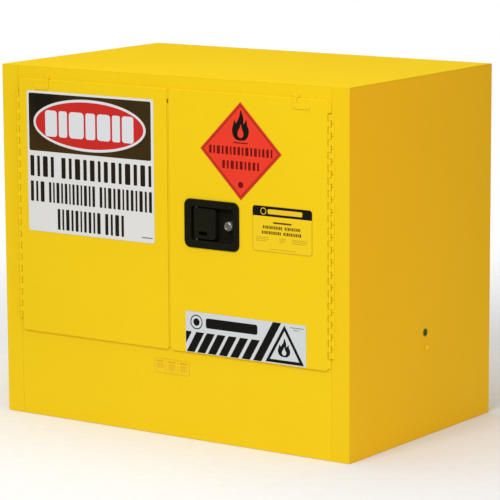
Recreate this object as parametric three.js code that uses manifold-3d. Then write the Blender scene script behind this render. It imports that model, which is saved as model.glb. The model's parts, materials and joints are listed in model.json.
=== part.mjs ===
// A small flammable storage cabinet: a double-wall sheet steel box on a deep spill sump, closed by two
// doors on continuous hinges. Millimetres, +X right, +Y into the cabinet, +Z up, origin at the middle
// of the underside. The doors face -Y.
import * as THREE from "three";
import { mergeVertices } from "three/addons/utils/BufferGeometryUtils.js";
import Module from "manifold-3d";

const wasm = await Module();
wasm.setup();

// Driving dimensions of the body.
const WIDTH = 889;
const DEPTH = 559;
const HEIGHT = 762;
const SHEET = 1.2; // steel sheet of every panel
const FIT = 0.3; // gap between pieces that touch
const JAMB = 42.9; // outside of a side panel to the face of its door jamb
const WALL = 41.5; // outside of the back panel to the inside of the back liner
const SILL_TOP = 211;
const HEADER_FOOT = 711;
const RETURN_DEPTH = 37.5; // how far the frame's return flanges reach behind the front

const SIDE = WIDTH / 2;
const FRONT = -DEPTH / 2;
const BACK = DEPTH / 2;
const JAMB_FACE = SIDE - JAMB;
const RETURN_END = FRONT + RETURN_DEPTH;
const LINER_BACK = BACK - WALL;
const TOP_UNDER = HEIGHT - SHEET;

// Sump, shelf and feet.
const TRAY_WALL = 1.5;
const TRAY_FLOOR = 45;
const TRAY_RIM = 209.5;
const SHELF_HEIGHT = 420;
const SHELF_LIP = 25;
const SHELF_HALF = [396, 228];
const HANGER_Y = 170;
const SLOT_PITCH = 63.5;
const FOOT_X = 360;
const FOOT_Y = 225;
const RAIL_WIDTH = 60;

// Doors and their hinges.
const DOOR_FOOT = 185.9;
const DOOR_HEAD = 735.3;
const SKIN_FRONT = FRONT - 5;
const SKIN_EDGE = FRONT - 0.5; // back edge of the skin's folded rim
const CENTRE_GAP = 2; // from the middle plane to each door skin
const PAN_GAP = 3.5; // from the middle plane to each inner pan
const PAN_BACK = FRONT + 34.5;
const PAN_FOOT = 213.5;
const PAN_HEAD = 708.5;
const LEAF = 1;
const LEAF_WIDTH = 25;
const BARREL_RADIUS = 3.2;
const BARREL_BORE = 1.9;
const PIN_RADIUS = 1.4;
const HINGE_FOOT = 212;
const KNUCKLES = 13;
const KNUCKLE_PITCH = 38.1;
const KNUCKLE_GAP = 0.4;
const HINGE_X = JAMB_FACE - FIT - LEAF - FIT / 2; // the axis is over the gap between the leaves
const HINGE_Y = FRONT - BARREL_RADIUS - FIT;
const SKIN_SIDE = HINGE_X - BARREL_RADIUS - 0.7; // a door skin's edge beside its hinge

// Paddle handle, latch and lock, on the right door.
const HANDLE = { x: [42.5, 180.5], z: [409, 511], radius: 11, thickness: 2.7 };
const TUB = { x: [56.8, 166.2], z: [423, 497], radius: 7, wall: 1.5, depth: 22.5 };
const PADDLE = { x: 120.5, z: [428.5, 492.5], thickness: 5, lip: 12 };
const PADDLE_PIVOT = [69, FRONT - 0.5];
const HUB = [75, 461];
const HUB_ARM = 20;
const CRANK_ARM = 14;
const ROD_RADIUS = 4;
const ROD_Y = FRONT + 27.5;
const BOLT_REACH = 12; // how far a bolt stands out of the inner pan
const LOCK = [154.8, 461];
const CAM_LENGTH = 19;

// Spring catches of the left door, vents and earth point.
const CATCH_X = -60;
const CATCH_Y = FRONT + 17.5;
const CATCH_REACH = 4;
const VENT_RADIUS = 26;
const VENTS = { upper: [300, 660], lower: [-300, 250] };
const EARTH_SCREW = [16, 188.7];
const EARTH_LABEL = [11.5, 222];

const finishes = {
  enamel: [0xf3ce1e, 0.38, 0.0],
  plated_steel: [0xb4b6b8, 0.35, 0.9],
  handle_black: [0x1b1a17, 0.45, 0.0],
  chrome: [0xd5d8da, 0.15, 1.0],
  sign_white: [0xe3e4e4, 0.3, 0.0],
  diamond_red: [0xe8402c, 0.35, 0.0],
  label_yellow: [0xefc21c, 0.35, 0.0],
  strip_silver: [0xd8dbde, 0.3, 0.0],
  earth_green: [0x1f8f4c, 0.4, 0.0],
};

const cabinet = new THREE.Group();

// ---- solids -------------------------------------------------------------------------------------

function solid(geometry) {
  geometry.deleteAttribute("normal");
  geometry.deleteAttribute("uv");
  const merged = mergeVertices(geometry, 1e-4);
  const vertProperties = merged.attributes.position.array;
  const triVerts = new Uint32Array(merged.index.array);
  return new wasm.Manifold(new wasm.Mesh({ numProp: 3, vertProperties, triVerts }));
}

function join(...pieces) {
  return pieces.reduce((whole, piece) => whole.add(piece));
}

function cut(piece, ...tools) {
  return tools.reduce((rest, tool) => rest.subtract(tool), piece);
}

// A box between two places on each axis, in either order.
function block(x, y, z) {
  const spans = [x, y, z];
  const size = spans.map(([a, b]) => Math.abs(b - a));
  const middle = spans.map(([a, b]) => (a + b) / 2);
  return solid(new THREE.BoxGeometry(...size).translate(...middle));
}

// A cylinder along one axis; `at` is its centre on the other two axes, in X, Y, Z order.
function cylinder(axis, radius, [from, to], at, sides = 16) {
  const shape = new THREE.CylinderGeometry(radius, radius, Math.abs(to - from), sides);
  const middle = (from + to) / 2;
  if (axis === "x") return solid(shape.rotateZ(Math.PI / 2).translate(middle, at[0], at[1]));
  if (axis === "y") return solid(shape.translate(at[0], middle, at[1]));
  return solid(shape.rotateX(Math.PI / 2).translate(at[0], at[1], middle));
}

// A rounded rectangle in the XZ plane, extruded along Y.
function plate([x0, x1], [z0, z1], radius, y, arc = 4) {
  const outline = new THREE.Shape();
  outline.absarc(x1 - radius, z1 - radius, radius, 0, Math.PI / 2);
  outline.absarc(x0 + radius, z1 - radius, radius, Math.PI / 2, Math.PI);
  outline.absarc(x0 + radius, z0 + radius, radius, Math.PI, 1.5 * Math.PI);
  outline.absarc(x1 - radius, z0 + radius, radius, 1.5 * Math.PI, 2 * Math.PI);
  outline.closePath();
  return extruded(outline, y, arc);
}

// A shape drawn in X and Z, extruded along Y between the two places.
function extruded(outline, [y0, y1], arc = 4) {
  const depth = Math.abs(y1 - y0);
  const geometry = new THREE.ExtrudeGeometry(outline, { depth, bevelEnabled: false, curveSegments: arc });
  return solid(geometry.rotateX(Math.PI / 2).translate(0, Math.max(y0, y1), 0));
}

// The same span moved in by a margin at both ends.
function inset([a, b], margin) {
  return [a + margin, b - margin];
}

function add(name, finish, shape) {
  const { vertProperties, triVerts, numProp } = shape.getMesh();
  const positions = new Float32Array((vertProperties.length / numProp) * 3);
  for (let i = 0; i < positions.length / 3; i += 1) {
    positions.set(vertProperties.subarray(i * numProp, i * numProp + 3), i * 3);
  }
  const geometry = new THREE.BufferGeometry();
  geometry.setAttribute("position", new THREE.BufferAttribute(positions, 3));
  geometry.setIndex(new THREE.BufferAttribute(triVerts, 1));
  const [color, roughness, metalness] = finishes[finish];
  const mesh = new THREE.Mesh(geometry, new THREE.MeshStandardMaterial({ color, roughness, metalness }));
  mesh.name = name;
  cabinet.add(mesh);
}

// ---- outer shell --------------------------------------------------------------------------------

// A side panel with its front stile folded in and the jamb folded back, for side = -1 or 1.
function sidePanel(side) {
  const height = [0, TOP_UNDER - FIT];
  const face = block([side * (SIDE - SHEET), side * SIDE], [FRONT, BACK], height);
  const stile = block([side * JAMB_FACE, side * SIDE], [FRONT, FRONT + SHEET], height);
  const jambX = [side * JAMB_FACE, side * (JAMB_FACE + SHEET)];
  const jamb = block(jambX, [FRONT, RETURN_END], [SILL_TOP + FIT, HEADER_FOOT - FIT]);
  return join(face, stile, jamb);
}

function frontSill() {
  const x = [-JAMB_FACE + FIT, JAMB_FACE - FIT];
  const face = block(x, [FRONT, FRONT + SHEET], [0, SILL_TOP]);
  const ledge = block(x, [FRONT, RETURN_END], [SILL_TOP - SHEET, SILL_TOP]);
  return cut(join(face, ledge), ...strikes(SILL_TOP, -1));
}

function frontHeader() {
  const x = [-JAMB_FACE + FIT, JAMB_FACE - FIT];
  const face = block(x, [FRONT, FRONT + SHEET], [HEADER_FOOT, TOP_UNDER - FIT]);
  const ledge = block(x, [FRONT, RETURN_END], [HEADER_FOOT, HEADER_FOOT + SHEET]);
  return cut(join(face, ledge), ...strikes(HEADER_FOOT, 1));
}

// The two notches of a frame member, up (1) or down (-1) from its edge: one for a latch bolt of the
// right door and one for a catch of the left door. They run out at the front, behind the door skins.
function strikes(edge, way) {
  const rodX = HUB[0] - way * HUB_ARM;
  const half = 8;
  const notch = (x, y, reach) => {
    const depth = [FRONT - 1, y + ROD_RADIUS + 2];
    return block([x - half, x + half], depth, [edge - way, edge + way * reach]);
  };
  return [notch(rodX, ROD_Y, BOLT_REACH + 1), notch(CATCH_X, CATCH_Y, CATCH_REACH)];
}

function backPanel() {
  const x = SIDE - SHEET - FIT;
  const panel = block([-x, x], [BACK - SHEET, BACK], [0, TOP_UNDER - FIT]);
  return cut(panel, ...ventHoles());
}

function ventHoles() {
  const through = [LINER_BACK - 5, BACK + 5];
  return Object.values(VENTS).map((at) => cylinder("y", VENT_RADIUS + 0.7, through, at, 24));
}

function basePanel() {
  const x = SIDE - SHEET - FIT;
  const y = BACK - SHEET - FIT;
  const holes = corners(FOOT_X, FOOT_Y).map(([, cx, cy]) => cylinder("z", 20, [-1, 3], [cx, cy], 24));
  return cut(block([-x, x], [-y, y], [0, SHEET]), ...holes);
}

// The four corners of a rectangle, each with its name.
function corners(x, y) {
  return [
    ["front_left", -x, -y],
    ["front_right", x, -y],
    ["rear_left", -x, y],
    ["rear_right", x, y],
  ];
}

function rightSidePanel() {
  return cut(sidePanel(1), cylinder("x", 3.5, [SIDE - 3, SIDE + 3], EARTH_SCREW, 16));
}

// ---- liner, sump and shelf ----------------------------------------------------------------------

// The inner side wall, with two columns of slots that take the shelf hangers.
function sideLiner(side) {
  const x = [side * JAMB_FACE, side * (JAMB_FACE + SHEET)];
  const wall = block(x, [RETURN_END + FIT, LINER_BACK + SHEET], [TRAY_FLOOR, HEADER_FOOT + SHEET]);
  const slots = [];
  for (let step = -2; step <= 3; step += 1) {
    for (const y of [-HANGER_Y, HANGER_Y]) {
      const z = SHELF_HEIGHT - 15 + step * SLOT_PITCH;
      slots.push(block([side * (JAMB_FACE - 1), side * (JAMB_FACE + 3)], [y - 2, y + 2], [z - 7, z + 7]));
    }
  }
  return cut(wall, ...slots);
}

function backLiner() {
  const x = JAMB_FACE - FIT;
  const wall = block([-x, x], [LINER_BACK, LINER_BACK + SHEET], [TRAY_FLOOR, HEADER_FOOT + SHEET]);
  return cut(wall, ...ventHoles());
}

function topLiner() {
  const x = JAMB_FACE - FIT;
  return block([-x, x], [RETURN_END + FIT, LINER_BACK - FIT], [HEADER_FOOT, HEADER_FOOT + SHEET]);
}

function sumpTray() {
  const x = JAMB_FACE - FIT;
  const y = [RETURN_END + FIT, LINER_BACK - FIT];
  const outside = block([-x, x], y, [TRAY_FLOOR, TRAY_RIM]);
  const hollow = block(inset([-x, x], TRAY_WALL), inset(y, TRAY_WALL), [TRAY_FLOOR + TRAY_WALL, HEIGHT]);
  return cut(outside, hollow);
}

function shelf() {
  const [x, y] = SHELF_HALF;
  const outside = block([-x, x], [-y, y], [SHELF_HEIGHT, SHELF_HEIGHT + SHELF_LIP]);
  const hollow = block(inset([-x, x], SHEET), inset([-y, y], SHEET), [SHELF_HEIGHT + SHEET, HEIGHT]);
  return cut(outside, hollow);
}

// A bracket that hooks into a liner slot and carries one corner of the shelf.
function shelfHanger(cx, cy) {
  const side = Math.sign(cx);
  const wall = JAMB_FACE - FIT;
  const y = [cy - 15, cy + 15];
  const back = block([side * (wall - 1.5), side * wall], y, [SHELF_HEIGHT - 34, SHELF_HEIGHT - FIT]);
  const ledge = block([side * (wall - 14), side * wall], y, [SHELF_HEIGHT - 1.8, SHELF_HEIGHT - FIT]);
  const hookX = [side * (wall - 1), side * (wall + 4)];
  const hook = block(hookX, [cy - 1.2, cy + 1.2], [SHELF_HEIGHT - 20, SHELF_HEIGHT - 10]);
  return join(back, ledge, hook);
}

// An inverted channel under the sump that carries it and holds the threaded feet of one side.
function baseRail(side) {
  const cx = side * FOOT_X;
  const x = [cx - RAIL_WIDTH / 2, cx + RAIL_WIDTH / 2];
  const y = [-FOOT_Y - 25, FOOT_Y + 25];
  const z = [SHEET + FIT, TRAY_FLOOR - FIT];
  const hollow = block(inset(x, SHEET), [y[0] - 1, y[1] + 1], [0, z[1] - SHEET]);
  const webs = [-FOOT_Y, FOOT_Y].map((cy) => block(x, [cy - 15, cy + 15], [22, 30]));
  const holes = [-FOOT_Y, FOOT_Y].map((cy) => cylinder("z", 5.4, [0, TRAY_FLOOR - 4], [cx, cy]));
  return cut(join(cut(block(x, y, z), hollow), ...webs), ...holes);
}

function levelingFoot(cx, cy) {
  const pad = cylinder("z", 18, [0, 5], [cx, cy], 24);
  const stud = cylinder("z", 5, [4, 40], [cx, cy]);
  return join(pad, stud);
}

// ---- hinges -------------------------------------------------------------------------------------

// One leaf of a continuous hinge with its own knuckles. `own` is 0 for the frame leaf, which has the
// end knuckles, and 1 for the door leaf; `side` is the cabinet's side.
function hingeLeaf(side, own) {
  const axisX = side * HINGE_X;
  const offset = own === 0 ? FIT / 2 : -FIT / 2 - LEAF;
  const x = [side * (HINGE_X + offset), side * (HINGE_X + offset + LEAF)];
  const leafFront = HINGE_Y + BARREL_RADIUS + 0.4;
  const height = [HINGE_FOOT, HINGE_FOOT + KNUCKLES * KNUCKLE_PITCH];
  let leaf = block(x, [leafFront, leafFront + LEAF_WIDTH], height);
  for (let i = own; i < KNUCKLES; i += 2) {
    const foot = HINGE_FOOT + i * KNUCKLE_PITCH;
    const z = [foot + KNUCKLE_GAP / 2, foot + KNUCKLE_PITCH - KNUCKLE_GAP / 2];
    const neck = block(x, [HINGE_Y + BARREL_BORE + 0.5, leafFront + 0.1], z);
    const barrel = cylinder("z", BARREL_RADIUS, z, [axisX, HINGE_Y], 12);
    leaf = join(leaf, barrel, neck);
  }
  const bore = cylinder("z", BARREL_BORE, inset(height, -1), [axisX, HINGE_Y], 8);
  return cut(leaf, bore);
}

function hingePin(side) {
  const height = [HINGE_FOOT + 0.5, HINGE_FOOT + KNUCKLES * KNUCKLE_PITCH - 0.5];
  return cylinder("z", PIN_RADIUS, height, [side * HINGE_X, HINGE_Y], 10);
}

// ---- doors --------------------------------------------------------------------------------------

// The outer skin, a shallow pan whose folded rim faces the frame.
function doorSkin(side) {
  const ends = [side * CENTRE_GAP, side * SKIN_SIDE];
  const x = [Math.min(...ends), Math.max(...ends)];
  const z = [DOOR_FOOT, DOOR_HEAD];
  const outside = plate(x, z, 8, [SKIN_FRONT, SKIN_EDGE]);
  const hollow = plate(inset(x, SHEET), inset(z, SHEET), 6.8, [SKIN_FRONT + SHEET, SKIN_EDGE + 1]);
  return cut(outside, hollow);
}

// The inner pan, which fills the opening and is cut back where the hinge barrel runs.
function doorPan(side) {
  const ends = [side * PAN_GAP, side * (HINGE_X - FIT / 2 - LEAF - FIT)];
  const x = [Math.min(...ends), Math.max(...ends)];
  const y = [SKIN_FRONT + SHEET + FIT, PAN_BACK];
  const outside = block(x, y, [PAN_FOOT, PAN_HEAD]);
  const hollow = block(inset(x, SHEET), [y[0] - 1, PAN_BACK - SHEET], [PAN_FOOT + SHEET, PAN_HEAD - SHEET]);
  const barrelX = [side * (SKIN_SIDE - SHEET - FIT), side * SIDE];
  const barrelRoom = block(barrelX, [SKIN_FRONT, FRONT + FIT], [0, HEIGHT]);
  return cut(outside, hollow, barrelRoom);
}

function rightDoorSkin() {
  const hole = plate(inset(TUB.x, -0.5), inset(TUB.z, -0.5), TUB.radius + 0.5, [SKIN_FRONT - 1, SKIN_EDGE]);
  return cut(doorSkin(1), hole);
}

function rightDoorPan() {
  const upper = cylinder("z", ROD_RADIUS + 0.6, [PAN_HEAD - 5, PAN_HEAD + 5], [HUB[0] - HUB_ARM, ROD_Y]);
  const lower = cylinder("z", ROD_RADIUS + 0.6, [PAN_FOOT - 5, PAN_FOOT + 5], [HUB[0] + HUB_ARM, ROD_Y]);
  return cut(doorPan(1), upper, lower);
}

function leftDoorPan() {
  const edges = [PAN_FOOT, PAN_HEAD];
  const holes = edges.map((z) => cylinder("z", ROD_RADIUS + 0.6, [z - 5, z + 5], [CATCH_X, CATCH_Y]));
  return cut(doorPan(-1), ...holes);
}

// The angle plate on a door's upper hinge-side corner; its upright stands above the door.
function doorBracket(side) {
  const y = [SKIN_FRONT - FIT - 1.5, SKIN_FRONT - FIT];
  const bar = block([side * 313.5, side * 353.5], y, [713, 728]);
  const upright = block([side * 313.5, side * 326.5], y, [713, 745]);
  return join(bar, upright);
}

// ---- handle, latch and lock ---------------------------------------------------------------------

function handlePan() {
  const floorBack = SKIN_FRONT + TUB.depth + TUB.wall;
  const face = [SKIN_FRONT - FIT - HANDLE.thickness, SKIN_FRONT - FIT];
  const bezel = plate(HANDLE.x, HANDLE.z, HANDLE.radius, face, 5);
  const tub = plate(TUB.x, TUB.z, TUB.radius, [face[0], floorBack]);
  const hollow = plate(inset(TUB.x, TUB.wall), inset(TUB.z, TUB.wall), TUB.radius - TUB.wall,
    [face[0] - 1, floorBack - TUB.wall]);
  const pivotHoles = cylinder("z", 2.5, inset(TUB.z, -3), PADDLE_PIVOT, 12);
  const lockHole = cylinder("y", 7.4, [floorBack - 5, floorBack + 5], LOCK, 24);
  const crankX = [HUB[0] - 4, HUB[0] + CRANK_ARM];
  const crankZ = [HUB[1] - CRANK_ARM - 4, HUB[1] - CRANK_ARM + 7];
  const crankSlot = block(crankX, [floorBack - 5, floorBack + 5], crankZ);
  const hubStud = cylinder("y", 3, [floorBack - 0.5, floorBack + 4], HUB, 16);
  return join(cut(join(bezel, tub), hollow, pivotHoles, lockHole, crankSlot), hubStud);
}

function paddle() {
  const [px, py] = PADDLE_PIVOT;
  const front = py - 4.6;
  const leaf = plate([px - 3.5, PADDLE.x], PADDLE.z, 3, [front, front + PADDLE.thickness]);
  const lip = block([PADDLE.x - 4, PADDLE.x], [front + 1, front + PADDLE.lip], inset(PADDLE.z, 3));
  const barrel = cylinder("z", 4, PADDLE.z, [px, py], 16);
  const tail = block([px - 2.5, px + 2.5], [py, py + 15], [HUB[1] - CRANK_ARM - 3, HUB[1] - CRANK_ARM + 3]);
  const slot = plate([px + 14, px + 39], [436, 445], 4, [front - 1, front + 1.5]);
  const bore = cylinder("z", 2.4, inset(PADDLE.z, -1), [px, py], 12);
  return cut(join(leaf, lip, barrel, tail), slot, bore);
}

function paddlePin() {
  return cylinder("z", 2, inset(TUB.z, -2), PADDLE_PIVOT, 12);
}

// The rocker behind the handle: the paddle's tail pushes its crank pin, and its arms draw both rods.
function latchHub() {
  const [hx, hz] = HUB;
  const floorBack = SKIN_FRONT + TUB.depth + TUB.wall;
  const y = [floorBack + FIT, floorBack + FIT + 2];
  const arms = plate([hx - HUB_ARM - 6, hx + HUB_ARM + 6], [hz - 7, hz + 7], 6, y);
  const crank = plate([hx - 6, hx + 6], [hz - CRANK_ARM - 5, hz + 6], 4, y);
  const crankPin = cylinder("y", 2, [floorBack - 9, y[1]], [hx, hz - CRANK_ARM], 12);
  const rodPins = [-1, 1].map((way) => cylinder("y", 2.5, [y[0], ROD_Y + 3], [hx + way * HUB_ARM, hz], 12));
  const pivot = cylinder("y", 3.4, inset(y, -2), HUB, 16);
  return cut(join(arms, crank, crankPin, ...rodPins), pivot);
}

// A latch rod: a slotted end on the hub's pin and a round bolt that reaches into the frame.
function latchRod(way) {
  const x = HUB[0] - way * HUB_ARM;
  const end = way > 0 ? PAN_HEAD + BOLT_REACH : PAN_FOOT - BOLT_REACH;
  const shaft = cylinder("z", ROD_RADIUS, [HUB[1] + way * 8, end], [x, ROD_Y], 14);
  const lugX = [x - way * 6, x + way * 12];
  const lug = block(lugX, [ROD_Y - 2, ROD_Y + 2], [HUB[1] - way * 7, HUB[1] + way * 12]);
  const slotX = [x - way * 3.4, x + way * 8.5];
  const slot = block(slotX, [ROD_Y - 3, ROD_Y + 3], [HUB[1] - 3.3, HUB[1] + 3.3]);
  return cut(join(shaft, lug), slot);
}

function lockBody() {
  const floorFront = SKIN_FRONT + TUB.depth;
  const head = cylinder("y", 9, [SKIN_FRONT - 6.3, floorFront - FIT], LOCK, 20);
  const shank = cylinder("y", 7, [floorFront - 1, floorFront + 5.5], LOCK, 20);
  return cut(join(head, shank), cylinder("y", 5.4, [SKIN_FRONT - 8, floorFront + 8], LOCK, 20));
}

function lockPlug() {
  const floorFront = SKIN_FRONT + TUB.depth;
  const [lx, lz] = LOCK;
  const core = cylinder("y", 5, [SKIN_FRONT - 6, floorFront + 6.5], LOCK, 20);
  const keyway = block([lx - 0.7, lx + 0.7], [SKIN_FRONT - 7, SKIN_FRONT - 3.5], [lz - 3.6, lz + 3.6]);
  const cam = plate([lx - 5, lx + 5], [lz - CAM_LENGTH, lz + 5], 4, [floorFront + 5.8, floorFront + 7.5]);
  return join(cut(core, keyway), cam);
}

// ---- catches, vents and earth point -------------------------------------------------------------

// A cup behind the pan's edge and the sprung bullet in it, for the upper (1) or lower (-1) catch.
function catchShell(way) {
  const edge = way > 0 ? PAN_HEAD : PAN_FOOT;
  const mouth = edge - way * (SHEET + FIT);
  const cup = cylinder("z", 6.4, [mouth - way * 18, mouth], [CATCH_X, CATCH_Y], 12);
  return cut(cup, cylinder("z", 4.5, [mouth - way * 16.5, mouth + way], [CATCH_X, CATCH_Y], 12));
}

function catchBullet(way) {
  const edge = way > 0 ? PAN_HEAD : PAN_FOOT;
  const tip = edge + way * CATCH_REACH;
  const nose = new THREE.SphereGeometry(ROD_RADIUS, 12, 6);
  const dome = solid(nose.translate(CATCH_X, CATCH_Y, tip - way * ROD_RADIUS));
  const stem = cylinder("z", ROD_RADIUS, [edge - way * 12, tip - way * ROD_RADIUS], [CATCH_X, CATCH_Y], 12);
  return join(stem, dome);
}

function ventTube(at) {
  const tube = cylinder("y", VENT_RADIUS, [LINER_BACK - 2, BACK + 1], at, 24);
  const flange = cylinder("y", VENT_RADIUS + 7, [BACK + FIT, BACK + 2.5], at, 24);
  return cut(join(tube, flange), cylinder("y", VENT_RADIUS - 2, [LINER_BACK - 5, BACK + 5], at, 24));
}

function ventScreen(at) {
  return cylinder("y", VENT_RADIUS - 2.4, [LINER_BACK + 3, LINER_BACK + 4], at, 24);
}

function ventCap(at) {
  const plug = cylinder("y", VENT_RADIUS - 2.6, [BACK - 16, BACK + 4], at, 24);
  const head = cylinder("y", VENT_RADIUS + 4, [BACK + 2.8, BACK + 6.5], at, 24);
  return join(plug, head);
}

function earthScrew() {
  const head = cylinder("x", 5.5, [SIDE + FIT, SIDE + 4], EARTH_SCREW, 6);
  const shank = cylinder("x", 3, [SIDE - 12, SIDE + 1], EARTH_SCREW, 12);
  return join(head, shank);
}

// ---- labels -------------------------------------------------------------------------------------

const LABEL = 0.4; // thickness of a sign or label

function label(x, z, radius, face = SKIN_FRONT) {
  return plate(x, z, radius, [face - FIT - LABEL, face - FIT]);
}

function classDiamond() {
  const [cx, cz] = [184.8, 617.9];
  const reach = 100.6;
  const outline = new THREE.Shape([[0, -reach], [reach, 0], [0, reach], [-reach, 0]].map(
    ([dx, dz]) => new THREE.Vector2(cx + dx, cz + dz)));
  return extruded(outline, [SKIN_FRONT - FIT - LABEL, SKIN_FRONT - FIT]);
}

// ---- assembly -----------------------------------------------------------------------------------

add("left_side_panel", "enamel", sidePanel(-1));
add("right_side_panel", "enamel", rightSidePanel());
add("top_panel", "enamel", block([-SIDE, SIDE], [FRONT, BACK], [TOP_UNDER, HEIGHT]));
add("back_panel", "enamel", backPanel());
add("base_panel", "enamel", basePanel());
add("header_panel", "enamel", frontHeader());
add("sill_panel", "enamel", frontSill());
add("left_liner", "enamel", sideLiner(-1));
add("right_liner", "enamel", sideLiner(1));
add("back_liner", "enamel", backLiner());
add("top_liner", "enamel", topLiner());
add("sump_tray", "enamel", sumpTray());
add("shelf", "enamel", shelf());
for (const [corner, cx, cy] of corners(JAMB_FACE, HANGER_Y)) {
  add(`shelf_hanger_${corner}`, "plated_steel", shelfHanger(cx, cy));
}
for (const [corner, cx, cy] of corners(FOOT_X, FOOT_Y)) {
  add(`leveling_foot_${corner}`, "plated_steel", levelingFoot(cx, cy));
}
for (const [hand, side] of [["left", -1], ["right", 1]]) {
  add(`base_rail_${hand}`, "plated_steel", baseRail(side));
  add(`${hand}_hinge_frame_leaf`, "enamel", hingeLeaf(side, 0));
  add(`${hand}_hinge_door_leaf`, "enamel", hingeLeaf(side, 1));
  add(`${hand}_hinge_pin`, "plated_steel", hingePin(side));
  add(`${hand}_door_bracket`, "enamel", doorBracket(side));
}
add("left_door_skin", "enamel", doorSkin(-1));
add("right_door_skin", "enamel", rightDoorSkin());
add("left_door_pan", "enamel", leftDoorPan());
add("right_door_pan", "enamel", rightDoorPan());
add("handle_pan", "handle_black", handlePan());
add("handle_paddle", "handle_black", paddle());
add("paddle_pin", "plated_steel", paddlePin());
add("latch_hub", "plated_steel", latchHub());
add("upper_latch_rod", "plated_steel", latchRod(1));
add("lower_latch_rod", "plated_steel", latchRod(-1));
add("lock_body", "chrome", lockBody());
add("lock_plug", "chrome", lockPlug());
for (const [level, way] of [["upper", 1], ["lower", -1]]) {
  add(`${level}_catch_shell`, "plated_steel", catchShell(way));
  add(`${level}_catch_bullet`, "plated_steel", catchBullet(way));
}
for (const [level, at] of Object.entries(VENTS)) {
  add(`${level}_vent_tube`, "plated_steel", ventTube(at));
  add(`${level}_vent_screen`, "plated_steel", ventScreen(at));
  add(`${level}_vent_cap`, "handle_black", ventCap(at));
}
add("earth_screw", "enamel", earthScrew());
add("earth_label", "earth_green", cylinder("x", 8.5, [SIDE + FIT, SIDE + FIT + LABEL], EARTH_LABEL, 24));
add("warning_sign", "sign_white", label([-373.5, -35.5], [407, 710], 6));
add("class_diamond", "diamond_red", classDiamond());
add("rating_plate", "label_yellow", label([213.5, 359.5], [417, 511], 7));
add("hazard_strip", "strip_silver", label([42.5, 344], [187.5, 274], 3));
add("sill_label", "label_yellow", label([-44, 47.5], [132.5, 164], 2, FRONT));

export default cabinet;
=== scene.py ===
"""The looks of a small flammable storage cabinet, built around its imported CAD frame.

Shapes are drawn in millimetres of the CAD frame (+X right, +Y into the cabinet, +Z up) and scaled to
metres when a piece is made. The signs carry plain bars and shapes of no make, and no lettering.
"""

import json
import math

import bmesh
import bpy
from mathutils import Matrix, Vector
from mathutils.geometry import tessellate_polygon

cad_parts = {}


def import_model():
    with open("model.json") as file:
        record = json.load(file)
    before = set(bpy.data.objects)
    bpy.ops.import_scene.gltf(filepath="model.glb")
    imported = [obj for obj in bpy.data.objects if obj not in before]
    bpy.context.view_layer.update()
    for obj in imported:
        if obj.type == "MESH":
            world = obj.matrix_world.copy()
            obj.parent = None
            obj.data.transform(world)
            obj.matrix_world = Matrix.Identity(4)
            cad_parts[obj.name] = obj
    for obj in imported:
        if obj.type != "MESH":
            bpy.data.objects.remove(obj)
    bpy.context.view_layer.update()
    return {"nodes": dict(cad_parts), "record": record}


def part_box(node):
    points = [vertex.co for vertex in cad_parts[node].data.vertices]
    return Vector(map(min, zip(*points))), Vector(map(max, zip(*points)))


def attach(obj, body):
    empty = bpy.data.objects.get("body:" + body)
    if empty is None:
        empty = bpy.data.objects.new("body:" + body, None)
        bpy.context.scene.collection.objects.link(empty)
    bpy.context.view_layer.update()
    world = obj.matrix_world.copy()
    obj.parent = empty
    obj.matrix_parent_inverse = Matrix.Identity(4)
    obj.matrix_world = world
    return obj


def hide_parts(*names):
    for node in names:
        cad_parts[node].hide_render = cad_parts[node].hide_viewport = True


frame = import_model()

MM = 0.001
SCENE = bpy.context.scene


def mm(node):
    """The lowest and highest corner of a CAD node in millimetres."""
    low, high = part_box(node)
    return [c / MM for c in low], [c / MM for c in high]


def front_view(node):
    """A CAD node's spans across and up, and the level of its front."""
    low, high = mm(node)
    return (low[0], high[0]), (low[2], high[2]), low[1]


def centre_of(node):
    """The middle of a CAD node's box in millimetres."""
    return [(low + high) / 2 for low, high in zip(*mm(node))]


# ---- materials ----


def rgb(red, green, blue):
    """An 8-bit display colour as linear values with an alpha."""
    def linear(value):
        value /= 255
        return value / 12.92 if value <= 0.04045 else ((value + 0.055) / 1.055) ** 2.4
    return (linear(red), linear(green), linear(blue), 1.0)


def shade(colour, factor):
    """A colour made lighter or darker."""
    return tuple(c * factor for c in colour[:3]) + (1.0,)


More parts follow.
